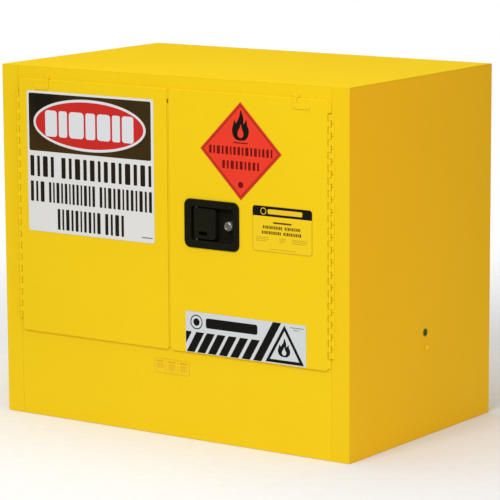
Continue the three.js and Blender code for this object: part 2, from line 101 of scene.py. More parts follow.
class Finish:
    """One procedural material: a Principled shader with noise-driven colour, roughness and bump."""

    def __init__(self, name, **sockets):
        self.material = bpy.data.materials.new(name)
        self.material.use_nodes = True
        self.tree = self.material.node_tree
        self.shader = self.tree.nodes["Principled BSDF"]
        self.place = self.node("TexCoord").outputs["Object"]
        self.normal = None
        for key, value in sockets.items():
            self.shader.inputs[key.replace("_", " ")].default_value = value

    def node(self, kind, links=None, values=None, **settings):
        made = self.tree.nodes.new("ShaderNode" + kind)
        for key, value in settings.items():
            setattr(made, key, value)
        for key, value in (values or {}).items():
            made.inputs[key].default_value = value
        for key, value in (links or {}).items():
            self.tree.links.new(value, made.inputs[key])
        return made

    def stretched(self, scale):
        return self.node("Mapping", {"Vector": self.place}, {"Scale": scale}).outputs["Vector"]

    def noise(self, scale, detail=3.0, stretch=None):
        """Noise from 0 to 1; scale is in waves per metre."""
        place = self.stretched(stretch) if stretch else self.place
        values = {"Scale": scale, "Detail": detail, "Roughness": 0.55}
        return self.node("TexNoise", {"Vector": place}, values).outputs["Fac"]

    def ramp(self, value, low, high, start=0.3, end=0.7):
        """Maps a value from start to end on to low to high, and holds it there."""
        values = {"From Min": start, "From Max": end, "To Min": low, "To Max": high}
        return self.node("MapRange", {"Value": value}, values).outputs["Result"]

    def mix(self, factor, first, second):
        """Blends two colours or colour sockets by a factor socket."""
        made = self.node("Mix", {0: factor}, data_type="RGBA")
        for socket, value in ((6, first), (7, second)):
            if isinstance(value, bpy.types.NodeSocket):
                self.tree.links.new(value, made.inputs[socket])
            else:
                made.inputs[socket].default_value = value
        return made.outputs[2]

    def colour(self, value):
        self.tree.links.new(value, self.shader.inputs["Base Color"])

    def roughness(self, value):
        self.tree.links.new(value, self.shader.inputs["Roughness"])

    def bump(self, height, distance, strength=1.0):
        """Adds a bump whose full height is distance, in metres."""
        values = {"Strength": strength, "Distance": distance}
        links = {"Height": height}
        if self.normal:
            links["Normal"] = self.normal
        self.normal = self.node("Bump", links, values).outputs["Normal"]
        self.tree.links.new(self.normal, self.shader.inputs["Normal"])
        return self


def enamel(name, specular, roughness):
    """Baked enamel: fine orange peel, slow waves of the sheet and a slightly uneven coat."""
    made = Finish(name, Specular_IOR_Level=specular)
    coat = made.mix(made.ramp(made.noise(4.0), 0, 1), rgb(245, 208, 23), rgb(242, 204, 21))
    mottle = made.ramp(made.noise(420.0, 4.0), 0, 1)
    made.colour(made.mix(mottle, coat, rgb(240, 201, 21)))
    made.roughness(made.ramp(made.noise(60.0), roughness - 0.04, roughness + 0.05))
    made.bump(made.noise(5.0, 1.0), 0.0006, 0.5)
    made.bump(made.noise(650.0, 2.0), 0.00002, 0.6)
    return made.material


def plated():
    """Zinc-plated steel with a drawn grain."""
    made = Finish("zinc_plate", Metallic=1.0)
    grain = made.noise(90.0, 5.0, stretch=(1.0, 1.0, 14.0))
    made.colour(made.mix(made.ramp(grain, 0, 1), rgb(196, 198, 200), rgb(164, 168, 172)))
    made.roughness(made.ramp(made.noise(220.0), 0.28, 0.46))
    return made.bump(grain, 0.00002, 0.5).material


def chrome():
    """Dull nickel-chrome plate with finger marks."""
    made = Finish("polished_chrome", Metallic=0.7)
    smudge = made.noise(700.0, 3.0)
    made.colour(made.mix(made.ramp(smudge, 0, 1), rgb(188, 182, 174), rgb(152, 148, 141)))
    made.roughness(made.ramp(smudge, 0.2, 0.3))
    return made.bump(made.noise(1500.0), 0.000004, 0.6).material


def black_paint(name, tone, roughness):
    """Textured black paint over pressed steel."""
    made = Finish(name, Specular_IOR_Level=0.12)
    pebble = made.noise(1500.0, 2.0)
    made.colour(made.mix(made.ramp(made.noise(180.0), 0, 1), tone, shade(tone, 1.5)))
    made.roughness(made.ramp(pebble, roughness - 0.06, roughness + 0.1))
    return made.bump(pebble, 0.00006, 0.7).material


def vinyl(name, colour, roughness=0.3, spread=0.93):
    """Printed film: a faint print grain and the slow waves of film laid by hand."""
    made = Finish(name, Specular_IOR_Level=0.12)
    grain = made.ramp(made.noise(900.0, 4.0), 0, 1)
    made.colour(made.mix(grain, colour, shade(colour, spread)))
    made.roughness(made.ramp(made.noise(140.0), roughness - 0.05, roughness + 0.06))
    made.bump(made.noise(26.0, 1.0), 0.00012, 0.5)
    return made.bump(made.noise(1200.0, 2.0), 0.000006, 0.5).material


HEADER_BLACK_AT = (-0.33, -0.285, 0.69)  # the blackest point of the warning sign's header, in metres


def header_ink():
    """The dark header of the warning sign: black that thins to brown away from one point."""
    made = Finish("ink_header", Specular_IOR_Level=0.12)
    drift = made.node("VectorMath", {0: made.place}, {1: HEADER_BLACK_AT}, operation="DISTANCE")
    patch = made.ramp(drift.outputs["Value"], 0, 1, 0.02, 0.12)
    brown = made.mix(made.ramp(made.noise(9.0, 2.0), 0, 1), rgb(50, 40, 19), rgb(74, 53, 20))
    made.colour(made.mix(patch, rgb(28, 25, 17), brown))
    made.roughness(made.ramp(made.noise(140.0), 0.26, 0.36))
    return made.bump(made.noise(1200.0, 2.0), 0.000006, 0.5).material


ENAMEL = enamel("yellow_enamel", 0.08, 0.37)
TOP_ENAMEL = enamel("yellow_top_enamel", 0.015, 0.5)
RIVET_ENAMEL = enamel("yellow_rivet_enamel", 0.8, 0.16)
PLATED = plated()
CHROME = chrome()
BLACK = black_paint("black_texture_paint", rgb(23, 22, 11), 0.46)
PADDLE_BLACK = black_paint("black_paddle_paint", rgb(24, 24, 12), 0.4)
CAP_BLACK = black_paint("black_moulded_cap", rgb(30, 30, 31), 0.5)
# near-black of the lock's dust shutter: painted shade that stands in for the depth of the keyway
KEYWAY_SHADE_BLACK = black_paint("keyway_painted_shade", rgb(14, 14, 14), 0.6)
SIGN_WHITE = vinyl("film_white", rgb(224, 224, 221), spread=0.97)
DIAMOND_RED = vinyl("film_red", rgb(238, 62, 42), spread=0.95)
LABEL_YELLOW = vinyl("film_yellow", rgb(243, 205, 30), spread=0.97)
SILL_YELLOW = vinyl("film_pale_yellow", rgb(243, 203, 28), spread=0.97)
STRIP_SILVER = vinyl("film_silver", rgb(209, 214, 216), spread=0.97)
EARTH_GREEN = vinyl("film_green", rgb(34, 96, 34))
INK_BLACK = vinyl("ink_black", rgb(22, 21, 18), spread=1.4)
INK_TEXT = vinyl("ink_brown_black", rgb(34, 27, 20), spread=1.4)
INK_HEADER = header_ink()
INK_RED = vinyl("ink_red", rgb(205, 44, 38))
INK_DARK_RED = vinyl("ink_dark_red", rgb(140, 24, 20))
INK_MAROON = vinyl("ink_maroon", rgb(112, 15, 11), spread=1.2)
INK_BAND_RED = vinyl("ink_band_red", rgb(203, 54, 36))
INK_BROWN = vinyl("ink_brown", rgb(92, 68, 24), spread=1.2)
INK_TAN = vinyl("ink_tan", rgb(196, 160, 40))
INK_GREY = vinyl("ink_grey", rgb(120, 120, 122))
INK_ORANGE = vinyl("ink_orange", rgb(230, 166, 28))
INK_OLIVE = vinyl("ink_olive", rgb(229, 188, 26))
INK_PALE = vinyl("ink_pale", rgb(235, 191, 34))
INK_WHITE = vinyl("ink_white", rgb(222, 223, 226), spread=0.97)
INK_YELLOW = vinyl("ink_yellow", rgb(240, 200, 40))

MATERIALS = {
    "enamel": ENAMEL, "plated_steel": PLATED, "handle_black": BLACK, "chrome": CHROME,
    "sign_white": SIGN_WHITE, "diamond_red": DIAMOND_RED, "label_yellow": LABEL_YELLOW,
    "strip_silver": STRIP_SILVER, "earth_green": EARTH_GREEN,
}


# ---- shapes ----


def add_object(name, data):
    """A new object in the scene."""
    ob = bpy.data.objects.new(name, data)
    SCENE.collection.objects.link(ob)
    return ob


# Where an outline's two coordinates and its level go, by the axis that the outline is swept along.
MAPS = {
    "x": lambda u, v, w: (w, u, v),
    "y": lambda u, v, w: (u, w, v),
    "z": lambda u, v, w: (u, v, w),
}


def rounded(across, up, radii, steps=6):
    """A rounded rectangle, anticlockwise from its upper right corner. radii is one or four values."""
    radii = radii if isinstance(radii, (tuple, list)) else (radii,) * 4
    points = []
    for i, (right, top) in enumerate(((1, 1), (0, 1), (0, 0), (1, 0))):
        r = max(radii[i], 0.02)
        cu = across[1] - r if right else across[0] + r
        cv = up[1] - r if top else up[0] + r
        for k in range(steps + 1):
            angle = math.radians(90 * (i + k / steps))
            points.append((cu + r * math.cos(angle), cv + r * math.sin(angle)))
    return points


def circle(u, v, radius, steps=32, squash=1.0):
    turns = [2 * math.pi * k / steps for k in range(steps)]
    return [(u + radius * math.cos(a), v + radius * squash * math.sin(a)) for a in turns]


def smooth_loop(points, steps=5):
    """A closed Catmull-Rom curve through the points."""
    out, n = [], len(points)
    for i in range(n):
        a, b, c, d = (Vector(points[(i + k) % n]) for k in (-1, 0, 1, 2))
        for k in range(steps):
            t = k / steps
            p = b + 0.5 * t * (c - a + t * (2 * a - 5 * b + 4 * c - d + t * (3 * (b - c) + d - a)))
            out.append((p.x, p.y))
    return out


def inset(span, margin):
    """A span drawn in by a margin at both ends."""
    return (span[0] + margin, span[1] - margin)


def quarter(steps):
    """A quarter turn as pairs that run from (0, 1) to (1, 0), for rolled edges and fillets."""
    turns = [math.radians(90 * k / steps) for k in range(steps + 1)]
    return [(1 - math.cos(turn), 1 - math.sin(turn)) for turn in turns]


class Shape:
    """The closed shells of one piece, in millimetres."""

    def __init__(self):
        self.verts, self.faces = [], []

    def bridge(self, first, second, count):
        """Quads between two rings of count points that start at these indices."""
        for k in range(count):
            n = (k + 1) % count
            self.faces.append((first + k, first + n, second + n, second + k))

    def loft(self, loops, closed=False, caps=True):
        """Bridges loops of equal length; closed joins the last loop to the first."""
        start, n = len(self.verts), len(loops[0])
        for loop in loops:
            self.verts.extend(loop)
        rows = len(loops)
        for i in range(rows if closed else rows - 1):
            self.bridge(start + i * n, start + ((i + 1) % rows) * n, n)
        if caps and not closed:
            self.faces.append(tuple(range(start, start + n)))
            self.faces.append(tuple(range(start + (rows - 1) * n, start + rows * n)))
        return self

    def cap(self, outer, holes, starts):
        """Fills between vertex loops that are there already; starts are their first indices."""
        loops = [outer, *holes]
        ids = [start + k for loop, start in zip(loops, starts) for k in range(len(loop))]
        for tri in tessellate_polygon([[Vector((u, v, 0)) for u, v in loop] for loop in loops]):
            self.faces.append(tuple(ids[i] for i in tri))

    def wall(self, loop, axis, levels):
        """The side wall of an outline through the levels; returns each ring's first index."""
        starts, place = [], MAPS[axis]
        for level in levels:
            starts.append(len(self.verts))
            self.verts.extend(place(u, v, level) for u, v in loop)
        for a, b in zip(starts, starts[1:]):
            self.bridge(a, b, len(loop))
        return starts

    def prism(self, outer, axis, low, high, holes=(), pockets=()):
        """An outline extruded along an axis. holes go through; pockets are (loop, floor), cut from low."""
        sides = self.wall(outer, axis, (low, high))
        through = [self.wall(loop, axis, (low, high)) for loop in holes]
        blind = [self.wall(loop, axis, (low, floor)) for loop, floor in pockets]
        near = [s[0] for s in (sides, *through, *blind)]
        far = [s[1] for s in (sides, *through)]
        self.cap(outer, [*holes, *(loop for loop, _ in pockets)], near)
        self.cap(outer, list(holes), far)
        for (loop, _), starts in zip(pockets, blind):
            self.cap(loop, [], [starts[1]])
        return self

    def lathe(self, profile, axis, centre, steps=32, closed=False):
        """Turns (radius, level) points about an axis through the centre, capped unless closed."""
        place = MAPS[axis]
        loops = [[place(u, v, level) for u, v in circle(*centre, max(r, 0.01), steps)]
                 for r, level in profile]
        return self.loft(loops, closed)

    def box(self, x, y, z):
        return self.prism([(x[0], z[0]), (x[1], z[0]), (x[1], z[1]), (x[0], z[1])], "y", *y)


def soften(ob, width, segments=2):
    """Rounds a piece's sharp edges and keeps its flat faces flat."""
    if width:
        bevel = ob.modifiers.new("edge_rounding", "BEVEL")
        bevel.width, bevel.segments = width * MM, segments
        bevel.limit_method, bevel.angle_limit = "ANGLE", math.radians(40)
        bevel.miter_outer = "MITER_ARC"
    weighted = ob.modifiers.new("flat_faces", "WEIGHTED_NORMAL")
    weighted.keep_sharp = True


def piece(name, shape, body, material, replaces=(), bevel=0.0, segments=2, smooth=50):
    """Makes a shape a piece of the object: cleaned, shaded, hung on its body, and hiding the CAD nodes it
    replaces.
    """
    mesh = bpy.data.meshes.new(name)
    mesh.from_pydata([[c * MM for c in v] for v in shape.verts], [], shape.faces)
    bm = bmesh.new()
    bm.from_mesh(mesh)
    flat = math.radians(0.2)
    bmesh.ops.dissolve_limit(bm, angle_limit=flat, verts=bm.verts[:], edges=bm.edges[:])
    bmesh.ops.recalc_face_normals(bm, faces=bm.faces[:])
    for face in bm.faces:
        face.smooth = True
    bm.to_mesh(mesh)
    bm.free()
    mesh.set_sharp_from_angle(angle=math.radians(smooth))
    mesh.materials.append(material)
    ob = add_object(name, mesh)
    soften(ob, bevel, segments)
    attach(ob, body)
    if replaces:
        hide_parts(*replaces)


# ---- carried-over CAD nodes ----

EDGE_ROUNDING = {"enamel": 0.5, "plated_steel": 0.35, "handle_black": 0.5, "chrome": 0.3}
SLOT_OF = {part["node"]: part["material_slot"] for part in frame["record"]["subparts"]}


def carry_over(name, ob):
    """Gives a CAD node its detailed material, and rounds its folded and cut edges."""
    slot_name = SLOT_OF[name]
    for i in range(len(ob.data.materials)):
        ob.data.materials[i] = MATERIALS[slot_name]
    if ob.data.attributes.get("custom_normal"):
        ob.data.attributes.remove(ob.data.attributes["custom_normal"])
    for face in ob.data.polygons:
        face.use_smooth = True
    weld = ob.modifiers.new("weld", "WELD")
    weld.merge_threshold = 0.01 * MM
    planar = ob.modifiers.new("planar", "DECIMATE")
    planar.decimate_type, planar.angle_limit = "DISSOLVE", math.radians(0.5)
    soften(ob, EDGE_ROUNDING.get(slot_name, 0.12))


for node_name, node_object in frame["nodes"].items():
    carry_over(node_name, node_object)


# ---- body ----


def top_panel():
    """The top with its edges folded down on to the side panels and closed by a ground weld."""
    low, high = mm("top_panel")
    seam = mm("right_side_panel")[1][2]
    fold = 0.5
    levels = [(0.0, seam + 0.02), *((fold * a, high[2] - fold * b) for a, b in quarter(4))]
    loops = []
    for margin, z in levels:
        outline = rounded(inset((low[0], high[0]), margin), inset((low[1], high[1]), margin), 1.5)
        loops.append([(u, v, z) for u, v in outline])
    piece("top_cover", Shape().loft(loops), "cabinet", TOP_ENAMEL, ["top_panel"])


top_panel()


# ---- hinges ----

HANDS = (("left", -1), ("right", 1))
KNUCKLE_PITCH = 12.7  # the stock knuckle
KNUCKLE_COUNT = 39
KNUCKLE_GAP, KNUCKLE_EASE = 0.15, 0.3  # cleared at each end, and rounded off there
BARREL_RADIUS = 3.2
BORE_RADIUS = 1.7
# The fillets between a knuckle and what it is fixed to, as (outwards, inwards) steps from the hinge
# axis: the frame's on the stile and the door's on the skin. The first is as long as its knuckle, and
# the second runs past it by the overhang and stays clear of the other body's knuckles.
WEBS = {
    "frame": ([(1.3, 3.2), (8.2, 3.2), (5.9, 1.95), (3.7, 0.05), (2.95, -1.15), (1.0, -1.0)],
              [(1.3, 3.2), (8.2, 3.2), (5.9, 2.5), (4.5, 2.0), (3.4, 1.75), (2.9, 1.95), (2.2, 2.65)]),
    "door": ([(-2.0, -2.1), (-3.4, -1.46), (-6.2, -1.43), (-6.2, 2.6), (-2.4, 2.0)],
             [(-3.42, -0.6), (-5.6, -0.9), (-5.6, 2.6), (-2.7, 2.3), (-3.2, 1.3)]),
}
OVERHANGS = {"left": {"frame": 0.5, "door": 0.0}, "right": {"frame": 5.7, "door": 0.0}}


def hinge(hand, side):
    """A full-height hinge: two leaves whose knuckles alternate along the pin; side is -1 or 1."""
    foot = mm(f"{hand}_hinge_frame_leaf")[0][2]
    top = foot + KNUCKLE_COUNT * KNUCKLE_PITCH
    ax, ay, _ = centre_of(f"{hand}_hinge_pin")
    root = ay + BARREL_RADIUS + 0.4

    def placed(points):
        return [(ax + side * u, ay + v) for u, v in points]

    leaves = {}
    for own, (part, near) in enumerate((("frame", 0.15), ("door", -1.15))):
        leaf_back = mm(f"{hand}_hinge_{part}_leaf")[1][1]
        strip = sorted(ax + side * e for e in (near, near + 1.0))
        shape = Shape()
        shape.box(strip, (root, leaf_back), (foot, top))
        for i in range(own, KNUCKLE_COUNT, 2):
            z0 = foot + i * KNUCKLE_PITCH + KNUCKLE_GAP
            z1 = z0 + KNUCKLE_PITCH - 2 * KNUCKLE_GAP
            shoulder = BARREL_RADIUS - KNUCKLE_EASE
            ring = [(BORE_RADIUS, z0), (shoulder, z0), (BARREL_RADIUS, z0 + KNUCKLE_EASE),
                    (BARREL_RADIUS, z1 - KNUCKLE_EASE), (shoulder, z1), (BORE_RADIUS, z1)]
            shape.lathe(ring, "z", (ax, ay), 20, closed=True)
            shape.box(strip, (ay + BORE_RADIUS + 0.6, root + 0.2), (z0, z1))
            for web, spare in zip(WEBS[part], (-0.2, OVERHANGS[hand][part])):
                shape.prism(placed(web), "z", max(z0 - spare, foot), min(z1 + spare, top))
        leaves[part] = shape
    edge = placed([(-6.2, -1.43), (-5.4, -1.2), (1.4, 2.8), (-6.2, 2.8)])
    door_low, door_high = mm(f"{hand}_door_skin")
    for z in ((door_low[2] + 5, foot - 0.8), (top + 1.6, door_high[2] - 5)):
        leaves["door"].prism(edge, "z", *z)
    for part, body in (("frame", "cabinet"), ("door", f"{hand}_door")):
        node = f"{hand}_hinge_{part}_leaf"
        piece(f"{hand}_hinge_{part}_side", leaves[part], body, ENAMEL, [node])


for hinge_hand, hinge_side in HANDS:
    hinge(hinge_hand, hinge_side)


# ---- doors ----

SHEET = 1.2  # thickness of the sheet steel
SKIN_CORNER = 8.0
FOLD = 1.3  # outer radius of a folded edge
HINGE_EASE = 0.4  # how much further the shown skin stands off its hinge than the CAD skin
TUB_X = (56.8, 166.2)  # the handle's tub, behind its bezel
TUB_Z = (423.0, 497.0)
TUB_RADIUS = 7.0
TUB_CLEAR = 0.5  # between the tub and the hole for it in the door


def door_skin(hand, opening=None):
    """A pressed door face: a flat front with a rolled edge, and a rim that faces the frame."""
    low, high = mm(f"{hand}_door_skin")
    z, front, rim = (low[2], high[2]), low[1], high[1]
    x = (low[0] + HINGE_EASE, high[0]) if hand == "left" else (low[0], high[0] - HINGE_EASE)
    rows = [(0.0, rim), *((FOLD * a, front + FOLD * b) for a, b in quarter(5))]
    inner = [(FOLD, front + SHEET), (SHEET, front + FOLD), (SHEET, rim)]

    def ring(margin, y):
        outline = rounded(inset(x, margin), inset(z, margin), SKIN_CORNER - margin, 10)
        return outline, [(u, y, v) for u, v in outline]

    shape = Shape()
    shape.loft([ring(margin, y)[1] for margin, y in rows], caps=False)
    face, back = ring(*rows[-1])[0], ring(*inner[0])[0]
    first_inside, count = len(shape.verts), len(face)
    shape.loft([ring(margin, y)[1] for margin, y in inner], caps=False)
    holes = [opening] if opening else []
    walls = [shape.wall(loop, "y", (front, front + SHEET)) for loop in holes]
    shape.cap(face, holes, [first_inside - count, *(wall[0] for wall in walls)])
    shape.cap(back, holes, [first_inside, *(wall[1] for wall in walls)])
    shape.bridge(0, first_inside + 2 * count, count)
    piece(f"{hand}_door_face", shape, f"{hand}_door", ENAMEL, [f"{hand}_door_skin"], smooth=60)


door_skin("left")
tub_hole = rounded(inset(TUB_X, -TUB_CLEAR), inset(TUB_Z, -TUB_CLEAR), TUB_RADIUS + TUB_CLEAR, 8)
door_skin("right", tub_hole)


def centre_strip():
    """The folded strip in the gap between the doors, on the right door."""
    low, high = mm("right_door_skin")
    front, back, hem = low[1] + 0.3, high[1] - 0.3, low[0] + 0.9
    header_foot = mm("header_panel")[0][2]
    shape = Shape()
    for left, right, z in ((-1.1, 1.7, (low[2] + 6, header_foot - 6.5)),
                           (-1.7, 1.75, (header_foot + 3, high[2] - 3))):
        fold = [(left, front + 0.4), (left + 0.3, front), (right - 0.3, front), (right, front + 0.3),
                (right, back - 1.0), (hem, back - 1.0), (hem, back), (left, back)]
        shape.prism(fold, "z", *z)
    piece("right_door_centre_strip", shape, "right_door", ENAMEL)


centre_strip()


BRACKET_X = (313.5, 353.5)  # distances from the middle of the cabinet
BRACKET_ARM, BRACKET_BAR = 9.5, 11.0  # widths of the upright and the level part


def rivet(shape, x, z, face, radius=2.3, height=0.9, steps=16):
    """A low domed head that stands out from a face towards -Y."""
    dome = [(radius, face + 0.3), (radius, face - height * 0.3), (radius * 0.8, face - height * 0.72),
            (radius * 0.45, face - height * 0.95), (0.0, face - height)]
    shape.lathe(dome, "y", (x, z), steps)


def cut_corners(corners, steps=5):
    """An outline whose corners are curved; each corner is (across, up, distance of the curve)."""
    outline = []
    for i, (u, v, reach) in enumerate(corners):
        before, after = Vector(corners[i - 1][:2]), Vector(corners[(i + 1) % len(corners)][:2])
        here = Vector((u, v))
        start = here + (before - here).normalized() * reach
        end = here + (after - here).normalized() * reach
        for k in range(steps + 1):
            t = k / steps
            p = start * (1 - t) ** 2 + here * 2 * t * (1 - t) + end * t ** 2
            outline.append((p.x, p.y))
    return outline


def door_bracket(hand, side):
    """The hold-open angle on a door's upper corner, with its rivets and the hook behind it."""
    node = f"{hand}_door_bracket"
    low, high = mm(node)
    (u0, u1), (z0, z1) = BRACKET_X, (low[2], high[2])
    arm, bar = BRACKET_ARM, BRACKET_BAR
    corners = [(u0, z0, 4.5), (u1, z0, 5), (u1, z0 + bar, 5), (u0 + arm, z0 + bar, 3),
               (u0 + arm, z1, 4), (u0, z1, 4)]
    outline = [(side * u, v) for u, v in cut_corners(corners)]
    shape = Shape().prism(outline, "y", low[1], high[1])
    piece(f"{hand}_hold_open_plate", shape, f"{hand}_door", ENAMEL, [node], bevel=1.0,
          segments=3)
    heads = Shape()
    for u, z in ((u0 + arm / 2, z0 + bar / 2), (u1 - bar / 2, z0 + bar / 2), (u0 + arm / 2, z1 - 5)):
        rivet(heads, side * u, z, low[1])
    piece(f"{hand}_hold_open_rivets", heads, f"{hand}_door", RIVET_ENAMEL)
    back, head_top = mm(f"{hand}_door_skin")[1][1:]
    near = low[1] + 0.4
    wedge = [(u0 - 1.5, back), (u0 + 0.6, near), (u0 + arm - 0.6, near), (u0 + arm + 4.0, back)]
    hook = Shape().prism([(side * u, v) for u, v in wedge], "z", head_top + 0.5, z1 - 0.6)
    piece(f"{hand}_hold_open_hook", hook, f"{hand}_door", ENAMEL, bevel=0.4)


for bracket_hand, bracket_side in HANDS:
    door_bracket(bracket_hand, bracket_side)


# ---- handle, paddle and lock ----

LOCK_AT = (154.8, 461.0)  # the axis of the lock
HUB_AT = (75.0, 461.0)  # the pivot of the latch hub behind the tub
CRANK_DROP = 14.0  # from the hub's pivot down to its crank pin
TUB_DEPTH = 17.0  # from the front of the bezel, as is the next
STUD_REACH = 31.0
LOCK_NECK = 9.15  # radius of the lock's hole in the tub


def handle_pan():
    """The pressed bezel and tub as one sheet: rolled outer edge, rolled mouth and filleted floor."""
    x, z, front = front_view("handle_pan")
    bezel_back = front + 2.7
    floor, wall, stud_end = front + TUB_DEPTH, 1.5, front + STUD_REACH
    corner, mouth_corner = 14.5, 5.5
    outer_roll, mouth_roll, fillet, steps = 1.6, 1.8, 4.0, 5
    loops, outlines = [], []

    def add(across, up, margin, radius, y):
        outline = rounded(inset(across, margin), inset(up, margin), max(radius - margin, 0.3), 8)
        outlines.append(outline)
        loops.append([(u, y, v) for u, v in outline])

    add(x, z, 0, corner, bezel_back)
    for a, b in quarter(steps):
        add(x, z, outer_roll * a, corner, front + outer_roll * b)
    for margin, drop in ((4.6, 0.0), (5.2, 0.5)):
        add(x, z, margin, corner, front + drop)
    mouth_x, mouth_z = inset(TUB_X, wall), inset(TUB_Z, wall)
    for b, a in quarter(steps):
        add(mouth_x, mouth_z, -mouth_roll * a, mouth_corner, front + 0.5 + mouth_roll * b)
    for a, b in quarter(steps):
        add(mouth_x, mouth_z, 0.6 + fillet * a, mouth_corner, floor - fillet * b)
    front_cap = len(loops) - 1
    add(mouth_x, mouth_z, 0.6 + fillet - wall, mouth_corner, floor + wall)
    back_cap = len(loops) - 1
    add(TUB_X, TUB_Z, 0, TUB_RADIUS, floor - 2)
    add(TUB_X, TUB_Z, 0, TUB_RADIUS, bezel_back)
    shape = Shape()
    n = len(loops[0])
    shape.loft(loops[:front_cap + 1], caps=False)
    shape.loft(loops[back_cap:], caps=False)
    shape.bridge(0, (len(loops) - 1) * n, n)
    lock_hole = circle(*LOCK_AT, LOCK_NECK, 28)
    slot = rounded((HUB_AT[0] - 11, HUB_AT[0] + 14), (HUB_AT[1] - 20, HUB_AT[1] - 5), 1.5, 4)
    holes = [shape.wall(loop, "y", (floor, floor + wall)) for loop in (lock_hole, slot)]
    shape.cap(outlines[front_cap], [lock_hole, slot], [front_cap * n, holes[0][0], holes[1][0]])
    shape.cap(outlines[back_cap], [lock_hole, slot], [back_cap * n, holes[0][1], holes[1][1]])
    stud = [(3.0, floor + wall - 0.3), (3.0, stud_end - 0.4), (2.6, stud_end)]
    shape.lathe(stud, "y", HUB_AT, 20)
    piece("handle_bezel", shape, "right_door", BLACK, ["handle_pan"], smooth=60)


def handle_screws():
    """The domed screw heads in the bezel's corners."""
    x, z, front = front_view("handle_pan")
    heads = Shape()
    for u in inset(x, 7.0):
        for v in inset(z, 7.0):
            ring = [(2.4, front + 1.2), (2.4, front + 0.15), (1.9, front - 0.3), (0.0, front - 0.45)]
            heads.lathe(ring, "y", (u, v), 16)
    piece("handle_screws", heads, "right_door", PADDLE_BLACK)


def paddle():
    """The paddle's leaf with its grip hole, and behind it the lip, pin barrel and tail."""
    low, high = mm("handle_paddle")
    px, py, _ = centre_of("paddle_pin")
    z, front, right = (low[2], high[2]), py - 4.6, high[0]
    shape = Shape()
    outline = rounded((px - 3.5, right), z, (8, 2, 2, 8), 8)
    grip = rounded((px + 8, px + 30), (436.0, 444.0), 2.4, 6)
    shape.prism(outline, "y", front, front + 5, holes=[grip])
    piece("paddle_leaf", shape, "paddle", PADDLE_BLACK, ["handle_paddle"], bevel=0.9,
          segments=3)
    works = Shape()
    works.box((right - 4, right - 0.3), (front + 3.5, front + 12), inset(z, 8.5))
    barrel = [(2.4, z[0] + 0.2), (3.7, z[0] + 0.2), (4.0, z[0] + 0.6), (4.0, z[1] - 0.6),
              (3.7, z[1] - 0.2), (2.4, z[1] - 0.2)]
    works.lathe(barrel, "z", (px, py), 24, closed=True)
    crank_z = HUB_AT[1] - CRANK_DROP
    works.box((px - 2.5, px + 2.5), (py + 3.6, py + 15), (crank_z - 3, crank_z + 3))
    piece("paddle_barrel_and_lip", works, "paddle", PADDLE_BLACK, bevel=0.5)


def lock_barrel():
    """The lock's fixed barrel with its rounded collar."""
    low, high = mm("lock_body")
    front, back = low[1], high[1]
    body = Shape()
    profile = [(5.3, front + 1.5), (5.7, front + 0.7), (6.3, front + 0.15), (6.9, front),
               (7.9, front + 0.35), (8.9, front + 1.2), (9.6, front + 2.5), (9.9, front + 4.2),
               (9.9, front + 6.4), (9.4, front + 6.9), (9.0, front + 7.4), (9.0, front + 28.5),
               (7.0, front + 28.8), (7.0, back), (5.3, back)]
    body.lathe(profile, "y", LOCK_AT, 48, closed=True)
    piece("lock_barrel", body, "right_door", CHROME, ["lock_body"])


def lock_plug():
    """The plug with its keyway and a near-black shutter as painted shade, and the cam that turns with it.
    """
    plug_low, plug_high = mm("lock_plug")
    face = plug_low[1] + 0.6
    lx, lz = LOCK_AT
    plug = Shape()
    keyway = [(lx - 0.75, lz - 3.4), (lx + 0.75, lz - 3.4), (lx + 0.75, lz - 0.6), (lx + 0.35, lz - 0.2),
              (lx + 0.35, lz + 1.6), (lx + 0.75, lz + 2.0), (lx + 0.75, lz + 3.4), (lx - 0.75, lz + 3.4)]
    plug.prism(circle(lx, lz, 5.0, 40), "y", face, plug_high[1] - 1.0, pockets=[(keyway, face + 3.2)])
    piece("lock_cylinder_plug", plug, "lock_plug", CHROME, ["lock_plug"], bevel=0.35)
    cam = Shape()
    cam.prism(rounded((lx - 5, lx + 5), (plug_low[2], lz + 5), (4, 4, 3, 3), 6), "y",
              plug_high[1] - 1.7, plug_high[1], holes=[circle(lx, lz, 2.4, 20)])
    piece("lock_cam", cam, "lock_plug", PLATED, bevel=0.3)
    # a dust shutter at the keyway's floor, near-black as painted shade for a deep keyway
    shutter = Shape().box((lx - 0.7, lx + 0.7), (face + 2.4, face + 3.4), (lz - 3.3, lz + 3.3))
    piece("lock_keyway_shutter", shutter, "lock_plug", KEYWAY_SHADE_BLACK)


handle_pan()
handle_screws()
paddle()
lock_barrel()
lock_plug()


# ---- vents, feet and earth point ----


def vent_axis(level):
    """Where the axis of a vent passes through the back wall."""
    cx, _, cz = centre_of(f"{level}_vent_tube")
    return cx, cz


def vent_sleeve(level):
    """The flanged sleeve of a vent in the back wall."""
    low, high = mm(f"{level}_vent_tube")
    seat = high[1]
    tube = Shape()
    profile = [(24.0, low[1]), (26.0, low[1]), (26.0, seat - 2.3), (32.4, seat - 2.2), (33.0, seat - 1.7),
               (33.0, seat - 0.9), (32.2, seat), (25.0, seat), (24.0, seat - 0.9)]
    tube.lathe(profile, "y", vent_axis(level), 56, closed=True)
    piece(f"{level}_vent_sleeve", tube, "cabinet", PLATED, [f"{level}_vent_tube"])


